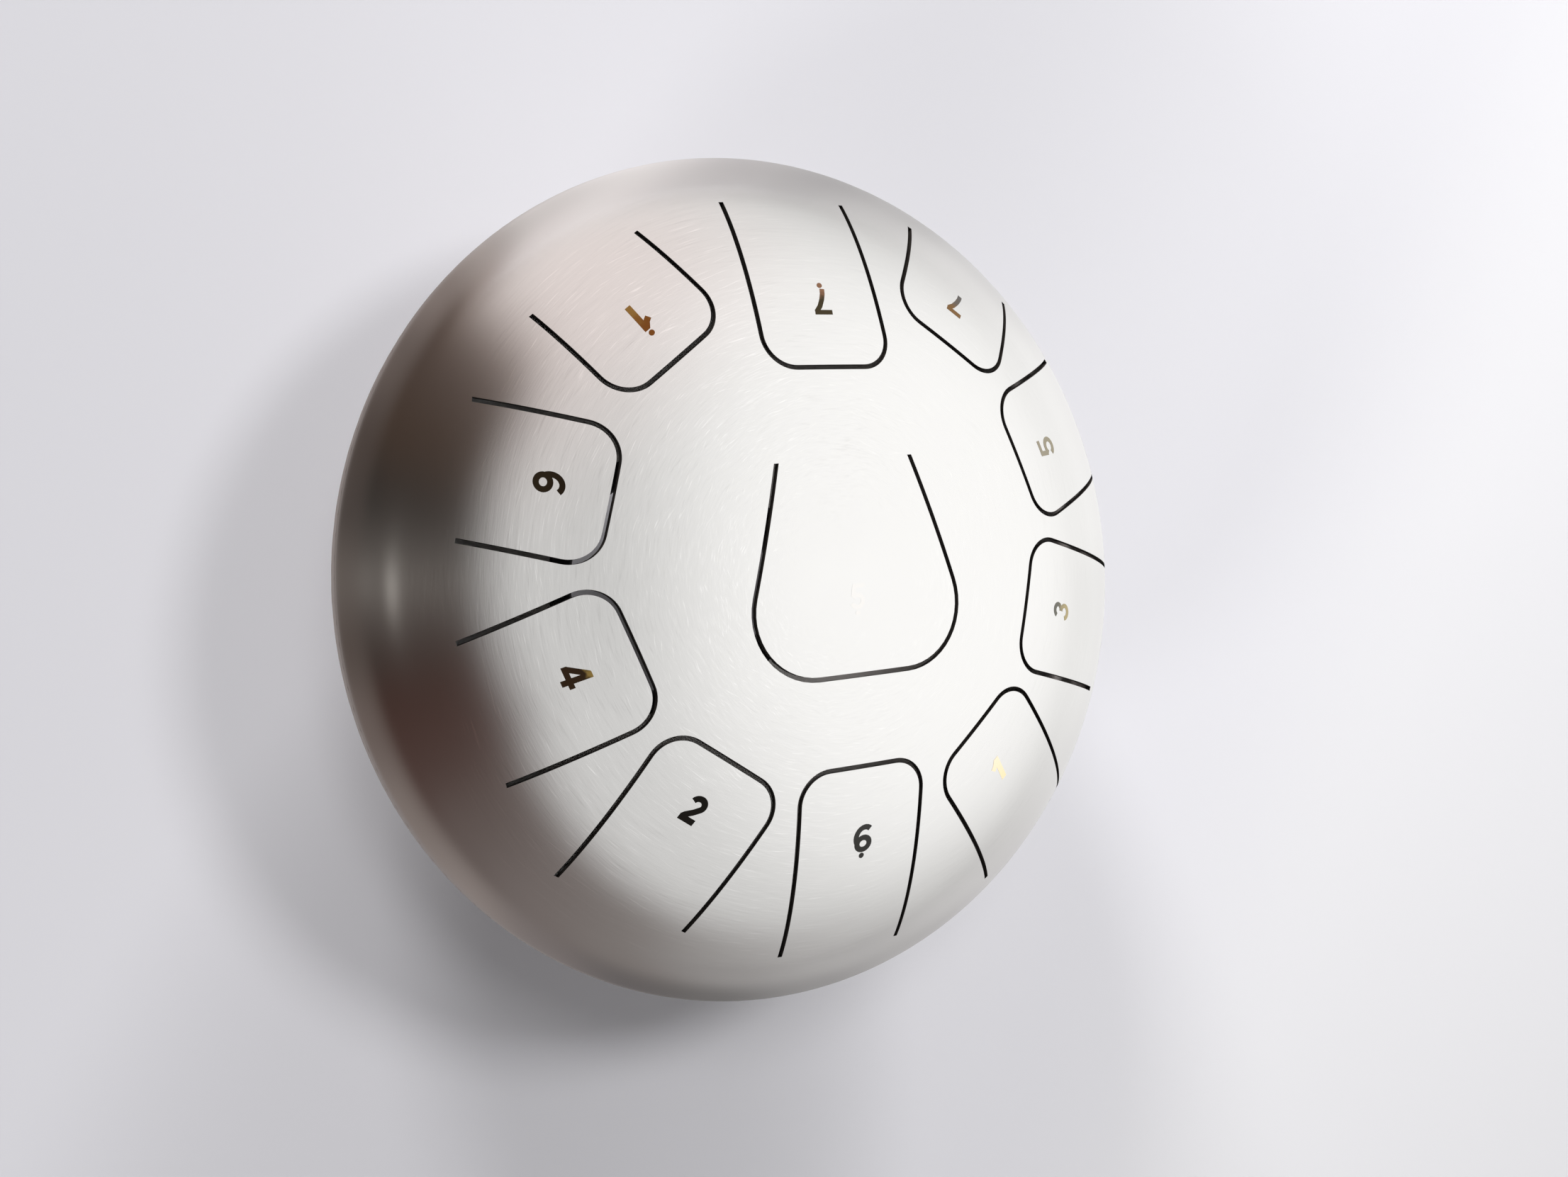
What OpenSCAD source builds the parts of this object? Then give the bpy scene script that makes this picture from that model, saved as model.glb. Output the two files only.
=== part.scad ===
// Steel tongue drum: two pressed steel domes welded rim to rim, eleven tongues cut in the upper dome,
// a rubber-edged sound hole and four rubber feet in the lower one.
// The drum stands on z = 0 with its axis on z, and the player sits on the -y side.

/* [Shells] */
// Outside diameter of the drum at its rim
drum_d = 200; // [185:1:220]
// Height of each dome, from its rim to its crown
dome_h = 46.3; // [40:0.1:55]
// Thickness of the pressed sheet
sheet_t = 1.5; // [1:0.1:2]
// Clear height under the crown of the lower dome
floor_gap = 5.5; // [4.5:0.5:9]

/* [Rim weld] */
// Depth of the weld's groove
weld_depth = 1; // [0.6:0.1:1]
// Full angle of the weld's groove
weld_angle = 80; // [50:5:90]

/* [Tongues] */
// Width of the laser-cut slots
slot_w = 1.1; // [0.8:0.1:1.6]
// Width of a ring tongue, between the middles of its slots, as a share of the drum's diameter
tongue_w_share = 0.159; // [0.134:0.001:0.164]
// Corner radius of a ring tongue's tip, at the middle of the slot, as a share of the drum's diameter
tongue_corner_share = 0.0365; // [0.02:0.0005:0.045]
// Width of the centre tongue, where its sides meet its tip's line, as a share of the drum's diameter
centre_w_share = 0.312; // [0.285:0.001:0.325]
// Corner radius of the centre tongue's tip, at the middle of the slot, as a share of the drum's diameter
centre_corner_share = 0.0735; // [0.055:0.0005:0.085]
// Slant of the centre tongue's sides, which draw in towards its root
centre_slant = 16.5; // [12:0.5:18]
// Gap at the line where each tongue bends
root_gap = 0.1; // [0.08:0.01:0.15]

/* [Sound hole] */
// Diameter of the hole cut in the lower dome
hole_d = 60; // [50:1:66]
// Overlap of the rubber edging on the sheet
edging_lip = 3.5; // [2.5:0.5:4.5]
// Thickness of the edging's lips
edging_t = 1.2; // [0.8:0.1:1.4]

/* [Feet] */
// Distance of each foot from the drum's axis
foot_dist = 56; // [52:1:60]
// Diameter of a foot where it meets the shell
foot_d = 18; // [16:1:22]
// Radius of the foot's rounded underside
foot_round_r = 20; // [16:1:26]
// Draft of the foot's side
foot_draft = 5; // [2:1:8]
// Depth to which the rounded underside is cut flat
foot_flat = 0.5; // [0.3:0.1:0.6]
// Rubber between the shell and the screw's washer
foot_seat_t = 4; // [3:0.5:5]
// Diameter of the foot screws
screw_d = 4; // [3:0.5:4]
// Diameter of a screw's pan head
head_d = 7.6; // [6.6:0.1:8]
// Height of a screw's pan head
head_h = 2.6; // [2:0.1:3]
// Diameter of the washer under the head
washer_d = 9; // [8.6:0.1:9.6]
// Thickness of the washer
washer_t = 0.8; // [0.5:0.1:1]
// Width of the nut across its flats
nut_w = 7; // [6.6:0.1:8]
// Height of the nut
nut_h = 3.2; // [2.4:0.1:4]
// Clearance round the screws and washers
fit_gap = 0.2; // [0.1:0.05:0.3]

/* [Hidden] */
// Each tongue: its name and the bearing of its root, then as shares of the drum's radius the distances
// from the axis of its tip and of the ends of its left and right slots, and how far its middle line
// passes beside the axis, and last its width as a share of tongue_w. Left is as seen from its tip.
ring_shares = [
    ["tongue_low_6", 272.6, 0.431, 0.868, 0.857, 0.028, 1],
    ["tongue_low_7", 90.7, 0.457, 0.851, 0.855, -0.031, 1],
    ["tongue_1", 312.4, 0.519, 0.930, 0.900, 0.022, 1],
    ["tongue_2", 236.1, 0.478, 0.827, 0.856, -0.011, 1],
    ["tongue_3", 346.9, 0.534, 0.922, 0.891, 0.035, 1],
    ["tongue_4", 201.9, 0.495, 0.829, 0.802, -0.053, 1],
    ["tongue_5", 21.1, 0.592, 0.907, 0.926, 0.029, 1],
    ["tongue_6", 163.9, 0.541, 0.814, 0.836, -0.033, 0.95],
    ["tongue_7", 55.2, 0.636, 0.889, 0.899, -0.007, 1],
    ["tongue_high_1", 127, 0.583, 0.837, 0.832, -0.023, 1]
];
centre_shares = ["tongue_low_5", 92.3, -0.226, 0.250, 0.250, -0.036, 1];
// Bearings of the four feet
foot_bearings = [45, 135, 225, 315];
foot_names = ["foot_rear_right", "foot_rear_left", "foot_front_left", "foot_front_right"];

// Overrun of every cut
over = 1;
drum_r = drum_d / 2;
rim_z = floor_gap + dome_h;
tongue_w = tongue_w_share * drum_d;
tongue_corner_r = tongue_corner_share * drum_d;
centre_w = centre_w_share * drum_d;
centre_corner_r = centre_corner_share * drum_d;

// Height of the outer surface over the rim, at a distance from the axis
function dome_z(d) = dome_h * sqrt(1 - pow(d / drum_r, 2));
// Angle between the axis and the surface's normal there
function dome_tilt(d) = atan(dome_h * dome_h * d / (drum_r * drum_r * dome_z(d)));
// Radius to which the meridian bends there
function dome_bend_r(d) =
    pow(pow(dome_h * d / drum_r, 2) + pow(drum_r * dome_z(d) / dome_h, 2), 1.5) / (drum_r * dome_h);

// The groove's side meets the outer surface at this distance from the axis: the larger root of
// a quadratic in the height, for the line from the groove's root and the dome's ellipse
groove_run = 1 / tan(weld_angle / 2);
groove_root = drum_r - weld_depth;
groove_a = pow(groove_run / drum_r, 2) + 1 / (dome_h * dome_h);
groove_b = 2 * groove_root * groove_run / (drum_r * drum_r);
groove_c = pow(groove_root / drum_r, 2) - 1;
groove_h = (sqrt(groove_b * groove_b - 4 * groove_a * groove_c) - groove_b) / (2 * groove_a);
weld_r = groove_root + groove_run * groove_h;

// The vertical cuts through the upper dome start inside the drum, at this height over the rim
cut_base = dome_h / 4;
cut_top = dome_h + over;

// Foot: the tilt of its axis, and its length along that axis from the shell to the end of its rounding
foot_tilt = dome_tilt(foot_dist);
foot_top_z = rim_z - dome_z(foot_dist);
foot_len = (foot_top_z + foot_flat - foot_round_r) / cos(foot_tilt) + foot_round_r;
foot_recess_d = washer_d + 2 * fit_gap;
// A flat nut stands off the hollow inside of the shell by the sagitta under its corners
nut_corner_r = nut_w / 2 / cos(30);
foot_bend_r = dome_bend_r(foot_dist) - sheet_t;
nut_lift = foot_bend_r - sqrt(pow(foot_bend_r, 2) - pow(nut_corner_r, 2));
screw_end = sheet_t + nut_lift + nut_h + screw_d / 4;
// Width and depth of the cross in a screw's head
cross_w = head_d / 6;
cross_len = head_d * 0.6;
cross_depth = head_h / 2;

$fn = 180;

// Half of a dome's section on both sides of the rim, its surface moved inwards by inset
module dome_section(inset = 0) {
    intersection() {
        scale([drum_r - inset, dome_h - inset]) circle(1);
        translate([0, -dome_h]) square([drum_r + over, 2 * dome_h]);
    }
}

// The V-shaped groove that the weld fills, out to a distance from the axis
module weld_groove(out_r) {
    half_w = (out_r - drum_r + weld_depth) * tan(weld_angle / 2);
    polygon([[drum_r - weld_depth, 0], [out_r, half_w], [out_r, -half_w]]);
}

// Half of the pressed sheet's section, with its edge bevelled for the weld
module sheet_section() {
    difference() {
        dome_section();
        dome_section(sheet_t);
        weld_groove(drum_r + over);
        translate([0, -dome_h]) square([drum_r + over, dome_h]);
    }
}

module upper_sheet() {
    translate([0, 0, rim_z]) rotate_extrude() sheet_section();
}

// Outline of a tongue, from its tip line at x = 0 to its root; grow moves the outline outwards,
// and skew says how much longer the left slot is than the right one
module tongue_outline(len, skew, w, corner_r, slant, grow) {
    arc_r = corner_r + grow;
    arc_c = [corner_r, w / 2 - corner_r / tan((90 - slant) / 2)];
    // The side's line touches the corner's arc here
    out = [sin(slant), cos(slant)];
    far = 2 * arc_r * out;
    side = arc_c + arc_r * out;
    tip_y = side.y + (side.x + grow) * tan(slant);
    root_y = side.y - (len - side.x) * tan(slant);
    root_dx = skew * root_y / w;
    difference() {
        polygon([[-grow, tip_y], [len + root_dx, root_y], [len - root_dx, -root_y], [-grow, -tip_y]]);
        // Rounds the sharp corners off
        for (s = [0, 1]) mirror([0, s]) difference() {
            polygon([arc_c, arc_c + far, arc_c + far - [2 * arc_r, 0], arc_c - [2 * arc_r, 0]]);
            translate(arc_c) circle(arc_r);
        }
    }
}

// The upright prism over one tongue; grow and back say how far it stands past the slot's middle
// and short of the root
module tongue_prism(t, w, corner_r, slant, grow, back) {
    len = (t[3] + t[4]) / 2 - t[2];
    rotate([0, 0, t[1]])
        translate([t[2] * drum_r, t[5] * drum_r, rim_z + cut_base])
            linear_extrude(cut_top - cut_base)
                tongue_outline(len * drum_r - back, (t[3] - t[4]) * drum_r, w * t[6], corner_r, slant, grow);
}

module ring_prism(t, grow, back) {
    tongue_prism(t, tongue_w, tongue_corner_r, 0, grow, back);
}

module centre_prism(grow, back) {
    tongue_prism(centre_shares, centre_w, centre_corner_r, centre_slant, grow, back);
}

module ring_tongue(t) {
    color("lightsteelblue") intersection() {
        upper_sheet();
        ring_prism(t, -slot_w / 2, root_gap);
    }
}

module tongue_low_5() {
    color("lightsteelblue") intersection() {
        upper_sheet();
        centre_prism(-slot_w / 2, root_gap);
    }
}

// The upper dome, with a window for each tongue and its slot
module top_shell() {
    color("silver") difference() {
        upper_sheet();
        centre_prism(slot_w / 2, 0);
        for (t = ring_shares) ring_prism(t, slot_w / 2, 0);
    }
}

// Puts something drawn along z at each foot's place: z = 0 is the shell's outside, and +z points out of it
module at_foot(bearing) {
    rotate([0, 0, bearing])
        translate([foot_dist, 0, foot_top_z])
            rotate([0, 180 - foot_tilt, 0])
                children();
}

module bottom_shell() {
    color("silver") difference() {
        translate([0, 0, rim_z]) mirror([0, 0, 1]) rotate_extrude() sheet_section();
        cylinder(d = hole_d, h = rim_z);
        for (b = foot_bearings) at_foot(b)
            translate([0, 0, -sheet_t - over]) cylinder(d = screw_d + 2 * fit_gap, h = sheet_t + 2 * over);
    }
}

// Weld bead in the groove between the two domes, ground off flush where the groove meets the outer surface
module rim_weld() {
    color("gray") translate([0, 0, rim_z]) rotate_extrude() weld_groove(weld_r);
}

// Half of the edging's section, drawn for the upper dome: a round nose in the hole and two lips on the sheet
module edging_section() {
    hole_r = hole_d / 2;
    lip_r = hole_r + edging_lip;
    mid_t = (sheet_t + edging_t) / 2;
    difference() {
        union() {
            translate([hole_r, dome_z(hole_r) - sheet_t / 2]) circle(sheet_t / 2 + edging_t);
            intersection() {
                difference() {
                    dome_section(-edging_t);
                    dome_section(sheet_t + edging_t);
                }
                translate([hole_r, 0]) square([edging_lip, 2 * dome_h]);
            }
            for (s = [-1, 1])
                translate([lip_r, dome_z(lip_r) - sheet_t / 2 + s * mid_t]) circle(edging_t / 2);
        }
        intersection() {
            difference() {
                dome_section();
                dome_section(sheet_t);
            }
            translate([hole_r, 0]) square([hole_d, 2 * dome_h]);
        }
    }
}

module hole_edging() {
    color("dimgray") translate([0, 0, rim_z]) mirror([0, 0, 1]) rotate_extrude() edging_section();
}

// Rubber foot: a tapered plug with a rounded underside, a recess for the screw's head
// and a top cut to the shell
module foot(i) {
    top_d = foot_d + 2 * over * tan(foot_draft);
    end_d = foot_d - 2 * foot_len * tan(foot_draft);
    color("dimgray") difference() {
        at_foot(foot_bearings[i]) difference() {
            intersection() {
                translate([0, 0, -over]) cylinder(d1 = top_d, d2 = end_d, h = foot_len + over);
                translate([0, 0, foot_len - foot_round_r]) sphere(foot_round_r);
            }
            translate([0, 0, -2 * over]) cylinder(d = screw_d + fit_gap, h = foot_len);
            translate([0, 0, foot_seat_t]) cylinder(d = foot_recess_d, h = foot_len);
        }
        translate([0, 0, rim_z]) mirror([0, 0, 1]) rotate_extrude() dome_section();
        // The floor
        translate([-drum_r, -drum_r, -2 * foot_round_r]) cube([drum_d, drum_d, 2 * foot_round_r]);
    }
}

module foot_screw() {
    head_z = foot_seat_t + washer_t;
    // The head's top is part of a sphere that leaves half its height at the edge
    crown_h = head_h / 2;
    ball_r = (pow(head_d / 2, 2) + pow(crown_h, 2)) / (2 * crown_h);
    difference() {
        union() {
            translate([0, 0, -screw_end]) cylinder(d = screw_d, h = screw_end + head_z + crown_h);
            intersection() {
                translate([0, 0, head_z]) cylinder(d = head_d, h = head_h);
                translate([0, 0, head_z + head_h - ball_r]) sphere(ball_r);
            }
        }
        for (turn = [0, 90]) rotate([0, 0, turn])
            translate([-cross_len / 2, -cross_w / 2, head_z + head_h - cross_depth])
                cube([cross_len, cross_w, cross_depth + over]);
    }
}

module foot_screws() {
    color("gainsboro") for (b = foot_bearings) at_foot(b) foot_screw();
}

module foot_washers() {
    color("gainsboro") for (b = foot_bearings) at_foot(b)
        translate([0, 0, foot_seat_t]) difference() {
            cylinder(d = washer_d, h = washer_t);
            translate([0, 0, -over]) cylinder(d = screw_d + fit_gap, h = washer_t + 2 * over);
        }
}

module foot_nuts() {
    color("gainsboro") for (b = foot_bearings) at_foot(b)
        translate([0, 0, -sheet_t - nut_lift - nut_h]) difference() {
            cylinder(r = nut_corner_r, h = nut_h, $fn = 6);
            translate([0, 0, -over]) cylinder(d = screw_d + fit_gap / 2, h = nut_h + 2 * over);
        }
}

top_shell();
bottom_shell();
rim_weld();
hole_edging();
for (i = [0 : len(foot_names) - 1])
    foot(i);
foot_screws();
foot_washers();
foot_nuts();
tongue_low_5();
for (t = ring_shares)
    ring_tongue(t);
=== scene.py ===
import math

import bmesh
import bpy
from mathutils import Matrix, Vector


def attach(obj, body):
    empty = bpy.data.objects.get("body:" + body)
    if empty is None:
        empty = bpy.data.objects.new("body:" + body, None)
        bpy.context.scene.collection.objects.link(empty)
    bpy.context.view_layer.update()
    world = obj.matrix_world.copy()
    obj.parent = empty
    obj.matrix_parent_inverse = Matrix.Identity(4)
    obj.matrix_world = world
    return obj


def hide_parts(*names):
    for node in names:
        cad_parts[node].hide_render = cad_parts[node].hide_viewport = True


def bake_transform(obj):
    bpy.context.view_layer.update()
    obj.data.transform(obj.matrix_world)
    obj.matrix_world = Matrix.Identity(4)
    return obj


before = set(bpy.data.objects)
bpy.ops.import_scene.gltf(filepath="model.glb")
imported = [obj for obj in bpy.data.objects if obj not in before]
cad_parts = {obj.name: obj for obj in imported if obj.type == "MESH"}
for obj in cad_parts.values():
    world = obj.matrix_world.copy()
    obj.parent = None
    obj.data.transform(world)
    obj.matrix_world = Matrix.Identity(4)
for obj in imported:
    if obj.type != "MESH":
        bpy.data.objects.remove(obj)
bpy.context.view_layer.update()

# Lengths are in metres. These repeat the part's own sizes
drum = dict(radius=0.1, domeHeight=0.0463, sheet=0.0015, floorGap=0.0055, slot=0.0011, weldHalf=0.00083)
drum["rimZ"] = drum["floorGap"] + drum["domeHeight"]

# The camera stands off from the middle of the rim along a tilted line, then rolls, yaws and pitches.
# Angles are in degrees, the lens and its sensor in mm
cameraSettings = dict(distance=0.47316, tilt=27.265, roll=3.157, yaw=1.039, pitch=-0.289,
                      lens=45.43, sensor=36)


def makeCamera(s):
    tilt, roll, yaw, pitch = (math.radians(s[key]) for key in ("tilt", "roll", "yaw", "pitch"))
    out = Vector((-math.sin(tilt), 0, math.cos(tilt)))
    forward = -out
    right = Vector((math.cos(tilt), 0, math.sin(tilt)))
    up = right.cross(forward)
    right, up = (math.cos(roll) * right - math.sin(roll) * up,
                 math.sin(roll) * right + math.cos(roll) * up)
    forward = math.cos(yaw) * forward + math.sin(yaw) * right
    right = forward.cross(up)
    forward = math.cos(pitch) * forward + math.sin(pitch) * up
    up = right.cross(forward)
    data = bpy.data.cameras.new("camera")
    data.sensor_fit = "HORIZONTAL"
    data.sensor_width = s["sensor"]
    data.lens = s["lens"]
    data.clip_start = 0.01
    camera = bpy.data.objects.new("camera", data)
    bpy.context.scene.collection.objects.link(camera)
    place = Matrix.Translation(out * s["distance"] + Vector((0, 0, drum["rimZ"])))
    camera.matrix_world = place @ Matrix((right, up, -forward)).transposed().to_4x4()
    bpy.context.scene.camera = camera


makeCamera(cameraSettings)
bpy.context.scene.view_settings.view_transform = "Standard"
print("camera ready")


def linear(code):
    # sRGB hex to linear values
    parts = [int(code[i:i + 2], 16) / 255 for i in (1, 3, 5)]
    return tuple(c / 12.92 if c <= 0.04045 else ((c + 0.055) / 1.055) ** 2.4 for c in parts) + (1,)


def addNode(tree, kind, inputs=None, stops=None, **settings):
    # An input takes a value, a socket, or a node, which stands for its first output
    node = tree.nodes.new("ShaderNode" + kind)
    for name, value in settings.items():
        setattr(node, name, value)
    for name, source in (inputs or {}).items():
        if isinstance(source, bpy.types.Node):
            source = source.outputs[0]
        if isinstance(source, bpy.types.NodeSocket):
            tree.links.new(source, node.inputs[name])
        else:
            node.inputs[name].default_value = source
    if stops:
        # Stops of a colour ramp are (place, hex) or (place, grey)
        node.color_ramp.interpolation = "EASE"
        for _ in stops[2:]:
            node.color_ramp.elements.new(0.5)
        for element, (place, color) in zip(node.color_ramp.elements, stops):
            element.position = place
            element.color = linear(color) if isinstance(color, str) else (color, color, color, 1)
    return node


def newMaterial(name):
    material = bpy.data.materials.new(name)
    material.use_nodes = True
    material.node_tree.nodes.clear()
    return material, material.node_tree


def hairlines(tree, unit, meridian, size, detail, roughness):
    # Noise drawn out round the drum's axis, with the length and width of a line in mm. The unit circle
    # stands for the angle round the axis, so that no line ends at a seam
    length, width = size
    turns = drum["radius"] * steelSettings["trueAt"] * 1000 / length
    circle = addNode(tree, "VectorMath", {0: unit, "Scale": turns}, operation="SCALE")
    rise = addNode(tree, "Math", {0: meridian, 1: 1000 / width}, operation="MULTIPLY")
    rise = addNode(tree, "CombineXYZ", {"Z": rise})
    place = addNode(tree, "VectorMath", {0: circle, 1: rise}, operation="ADD")
    return addNode(tree, "TexNoise",
                   {"Vector": place, "Scale": 1, "Detail": detail, "Roughness": roughness})


# Stainless sheet, pressed, then brushed by hand round the drum's axis with a fine wheel. To the eye it is a
# satin mirror: it shows the room softly, more blurred across the hairlines than along them, with fine light
# and dark lines that are deeper towards -X and shallower towards +X, and fade into a smoother band at the
# rim.
# Real hairlines are about 0.05 mm wide. They are drawn six times as wide, so that they show
steelSettings = dict(
    fine=(6.5, 0.32), long=(12, 0.8), scratch=(7, 0.3),  # length and width of a line, in mm
    trueAt=0.7,  # share of the radius at which the lengths hold
    lean=0.0016, waves=9,  # the long lines and the scratches lean this far, this often round the drum
    fineTone=0.5, longTone=0.35, scratchTone=0.2, scratchFrom=0.62, scratchTo=0.74,
    cloud=45.5, cloudTone=0.3,  # clouds in mm, where the hand pressed harder
    smoothFrom=0.08, smoothTo=0.097, smoothLeft=0.15,  # radii of the band at the rim
    deepAt=-0.075, shallowAt=0.03, deep=1.3, shallow=0.45,  # places along X
    crown=0.035, crownLeft=0.3,  # radius of the smoother crown
    tones=[(0, "#b4b2b0"), (0.5, "#dcdbd9"), (1, "#f4f3f1")],
    roughness=0.24, roughnessTone=-0.06, bump=0.15, bumpDepth=0.00002, anisotropic=0.35)


def makeSteel(s):
    material, tree = newMaterial("brushed_stainless_steel")
    coordinates = addNode(tree, "TexCoord").outputs["Object"]
    x, y, z = addNode(tree, "SeparateXYZ", {"Vector": coordinates}).outputs
    flat = addNode(tree, "CombineXYZ", {"X": x, "Y": y})
    unit = addNode(tree, "VectorMath", {0: flat}, operation="NORMALIZE")
    r = addNode(tree, "VectorMath", {0: flat}, operation="LENGTH").outputs["Value"]
    meridian = addNode(tree, "Math", {0: r, 1: z}, operation="SUBTRACT")
    # A slow wave of the angle leans the long lines one way and the scratches the other
    angle = addNode(tree, "Math", {0: y, 1: x}, operation="ARCTAN2")
    wave = addNode(tree, "Math", {0: angle, 1: s["waves"]}, operation="MULTIPLY")
    wave = addNode(tree, "Math", {0: wave}, operation="SINE")
    leftLean = addNode(tree, "Math", {0: wave, 1: s["lean"], 2: meridian}, operation="MULTIPLY_ADD")
    rightLean = addNode(tree, "Math", {0: wave, 1: -s["lean"], 2: meridian}, operation="MULTIPLY_ADD")
    fine = hairlines(tree, unit, meridian, s["fine"], 3, 0.6)
    long = hairlines(tree, unit, leftLean, s["long"], 2, 0.5)
    scratch = hairlines(tree, unit, rightLean, s["scratch"], 1, 0.5)
    scratch = addNode(tree, "MapRange",
                      {"Value": scratch, "From Min": s["scratchFrom"], "From Max": s["scratchTo"]},
                      interpolation_type="SMOOTHSTEP")
    cloud = addNode(tree, "TexNoise", {"Vector": coordinates, "Scale": 1000 / s["cloud"], "Detail": 3})
    # The brushing fades to a smoother band at the rim, and is shallower at the crown and towards +X
    grain = addNode(tree, "MapRange",
                    {"Value": r, "From Min": s["smoothFrom"], "From Max": s["smoothTo"],
                     "To Min": 1, "To Max": s["smoothLeft"]}, interpolation_type="SMOOTHSTEP")
    depth = addNode(tree, "MapRange",
                    {"Value": x, "From Min": s["deepAt"], "From Max": s["shallowAt"],
                     "To Min": s["deep"], "To Max": s["shallow"]})
    crown = addNode(tree, "MapRange",
                    {"Value": r, "From Min": 0, "From Max": s["crown"],
                     "To Min": s["crownLeft"], "To Max": 1}, interpolation_type="SMOOTHSTEP")
    grain = addNode(tree, "Math", {0: grain, 1: depth}, operation="MULTIPLY")
    grain = addNode(tree, "Math", {0: grain, 1: crown}, operation="MULTIPLY")
    # Lines and scratches, then the clouds, as a tone about zero
    middle = -(s["fineTone"] + s["longTone"]) / 2
    lines = addNode(tree, "Math", {0: fine, 1: s["fineTone"], 2: middle}, operation="MULTIPLY_ADD")
    lines = addNode(tree, "Math", {0: long, 1: s["longTone"], 2: lines}, operation="MULTIPLY_ADD")
    lines = addNode(tree, "Math", {0: scratch, 1: s["scratchTone"], 2: lines}, operation="MULTIPLY_ADD")
    cloud = addNode(tree, "Math",
                    {0: cloud, 1: s["cloudTone"], 2: -s["cloudTone"] / 2}, operation="MULTIPLY_ADD")
    lines = addNode(tree, "Math", {0: lines, 1: grain, 2: cloud}, operation="MULTIPLY_ADD")
    tone = addNode(tree, "Math", {0: lines, 1: 0.5}, operation="ADD", use_clamp=True)
    color = addNode(tree, "ValToRGB", {"Fac": tone}, s["tones"])
    roughness = addNode(tree, "Math", {0: lines, 1: s["roughnessTone"], 2: s["roughness"]},
                        operation="MULTIPLY_ADD", use_clamp=True)
    height = addNode(tree, "Math", {0: fine, 1: long}, operation="ADD")
    height = addNode(tree, "Math", {0: height, 1: grain}, operation="MULTIPLY")
    bump = addNode(tree, "Bump", {"Height": height, "Strength": s["bump"], "Distance": s["bumpDepth"]})
    # The direction round the axis, so that every piece is brushed alike
    tangent = addNode(tree, "VectorMath", {0: (0, 0, 1), 1: coordinates}, operation="CROSS_PRODUCT")
    tangent = addNode(tree, "VectorTransform", {"Vector": tangent},
                      vector_type="VECTOR", convert_from="OBJECT", convert_to="WORLD")
    shader = addNode(tree, "BsdfPrincipled",
                     {"Base Color": color, "Roughness": roughness, "Normal": bump, "Tangent": tangent,
                      "Metallic": 1, "Anisotropic": s["anisotropic"]})
    addNode(tree, "OutputMaterial", {"Surface": shader})
    return material


steel = makeSteel(steelSettings)


def makeCutEdge(s):
    # Steel as the laser leaves it: a dull dark oxide that hardly mirrors, mottled by the striations of
    # the cut. They are a few tenths of a millimetre apart and drawn as patches of 4 mm, so that they show
    material, tree = newMaterial("laser_cut_edge")
    coordinates = addNode(tree, "TexCoord").outputs["Object"]
    noise = addNode(tree, "TexNoise", {"Vector": coordinates, "Scale": 1000 / s["patch"], "Detail": 4})
    color = addNode(tree, "ValToRGB", {"Fac": noise}, s["tones"])
    shader = addNode(tree, "BsdfPrincipled",
                     {"Base Color": color, "Metallic": s["metallic"], "Roughness": s["roughness"]})
    addNode(tree, "OutputMaterial", {"Surface": shader})
    return material


cutEdge = makeCutEdge(dict(patch=3.85, metallic=0.6, roughness=0.55,  # patch in mm
                           tones=[(0.3, "#383431"), (0.62, "#4b4642"), (0.8, "#5d5751")]))


def makeRubber(s):
    # Moulded rubber: nearly black, with a faint sheen that a skin of 0.7 mm grains breaks up
    material, tree = newMaterial("black_rubber")
    coordinates = addNode(tree, "TexCoord").outputs["Object"]
    noise = addNode(tree, "TexNoise", {"Vector": coordinates, "Scale": 1000 / s["grain"], "Detail": 5})
    color = addNode(tree, "ValToRGB", {"Fac": noise}, s["tones"])
    low, high = (place for place, tone in s["tones"])
    roughness = addNode(tree, "MapRange",
                        {"Value": noise, "From Min": low, "From Max": high,
                         "To Min": s["smooth"], "To Max": s["rough"]}, interpolation_type="SMOOTHSTEP")
    bump = addNode(tree, "Bump", {"Height": noise, "Strength": s["bump"], "Distance": s["bumpDepth"]})
    shader = addNode(tree, "BsdfPrincipled",
                     {"Base Color": color, "Roughness": roughness, "Normal": bump})
    addNode(tree, "OutputMaterial", {"Surface": shader})
    return material


rubber = makeRubber(dict(grain=0.714, smooth=0.5, rough=0.68, bump=0.25, bumpDepth=0.00005,  # grain in mm
                         tones=[(0.3, "#151516"), (0.7, "#28282a")]))


def makeZinc(s):
    # Bright zinc plate on screws: a cool grey metal, fairly sharp, with the cloudy patches of the plating
    material, tree = newMaterial("zinc_plated_steel")
    coordinates = addNode(tree, "TexCoord").outputs["Object"]
    noise = addNode(tree, "TexNoise", {"Vector": coordinates, "Scale": 1000 / s["patch"], "Detail": 4})
    color = addNode(tree, "ValToRGB", {"Fac": noise}, s["tones"])
    low, high = (place for place, tone in s["tones"])
    roughness = addNode(tree, "MapRange",
                        {"Value": noise, "From Min": low, "From Max": high,
                         "To Min": s["smooth"], "To Max": s["rough"]}, interpolation_type="SMOOTHSTEP")
    shader = addNode(tree, "BsdfPrincipled",
                     {"Base Color": color, "Roughness": roughness, "Metallic": 1})
    addNode(tree, "OutputMaterial", {"Surface": shader})
    return material


zinc = makeZinc(dict(patch=1.67, smooth=0.22, rough=0.36,  # patch in mm
                     tones=[(0.3, "#a9adb3"), (0.7, "#cdd0d4")]))


oxideSettings = dict(patch=2.38, patchTone=0.7, roughness=0.14)  # patch in mm


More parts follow.
